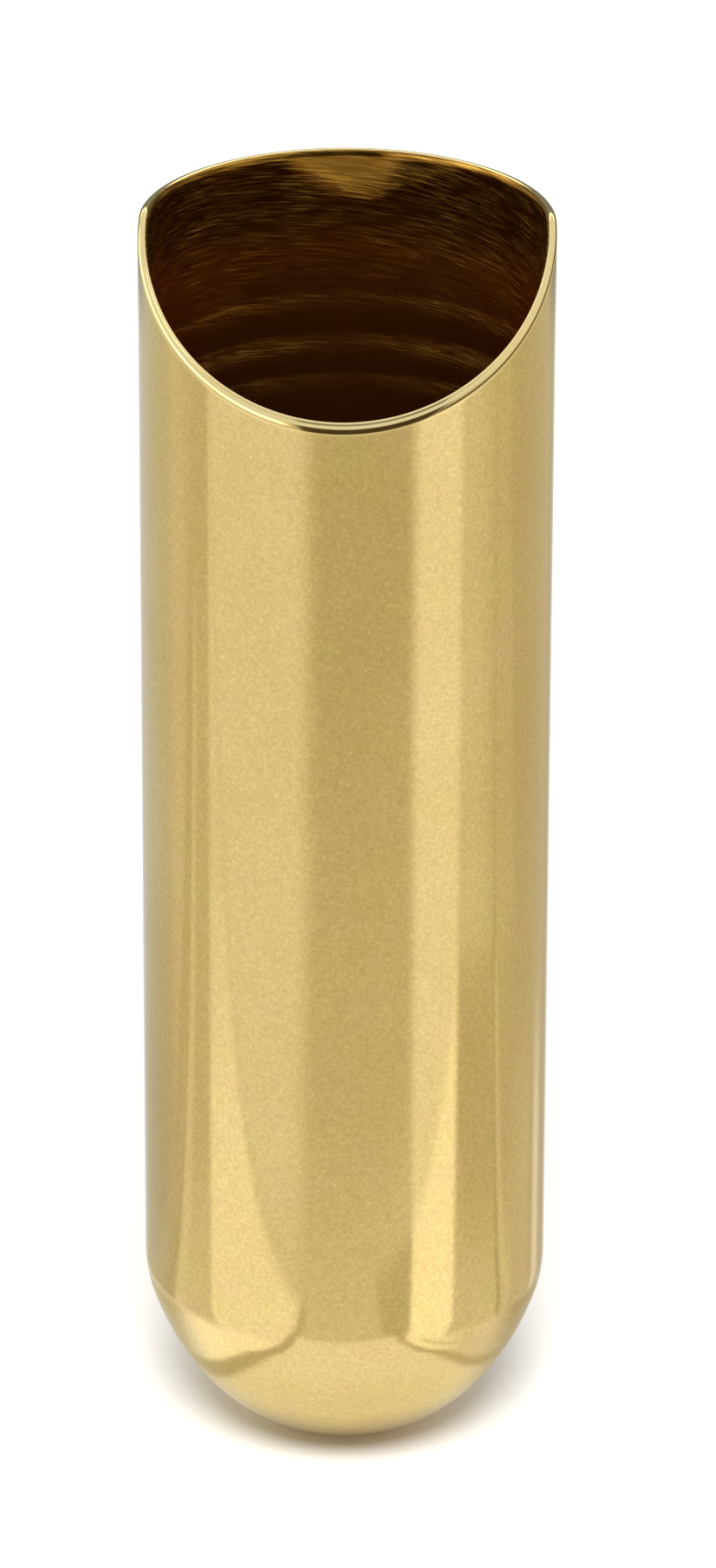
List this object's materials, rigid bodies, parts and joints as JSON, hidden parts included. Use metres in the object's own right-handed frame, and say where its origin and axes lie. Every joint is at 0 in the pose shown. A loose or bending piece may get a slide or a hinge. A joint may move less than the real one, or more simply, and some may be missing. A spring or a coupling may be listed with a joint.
{
  "type": "guitar slide",
  "caption": "Thin-walled brass tube with a round closed end and a slanted open mouth, worn on a finger to glide along guitar strings.",
  "frame": {"origin": "lowest point of the round closed end, on the axis of the tube", "axes": "+Z along the bore towards the mouth, -Y towards the low front of the slanted cut, +X to the right seen from the front"},
  "size_m": [0.0222, 0.0222, 0.0715],
  "materials": {
    "slide_body": "polished"
  },
  "bodies": {
    "root": {"slide_body": "slide_body"}
  },
  "joints": []
}
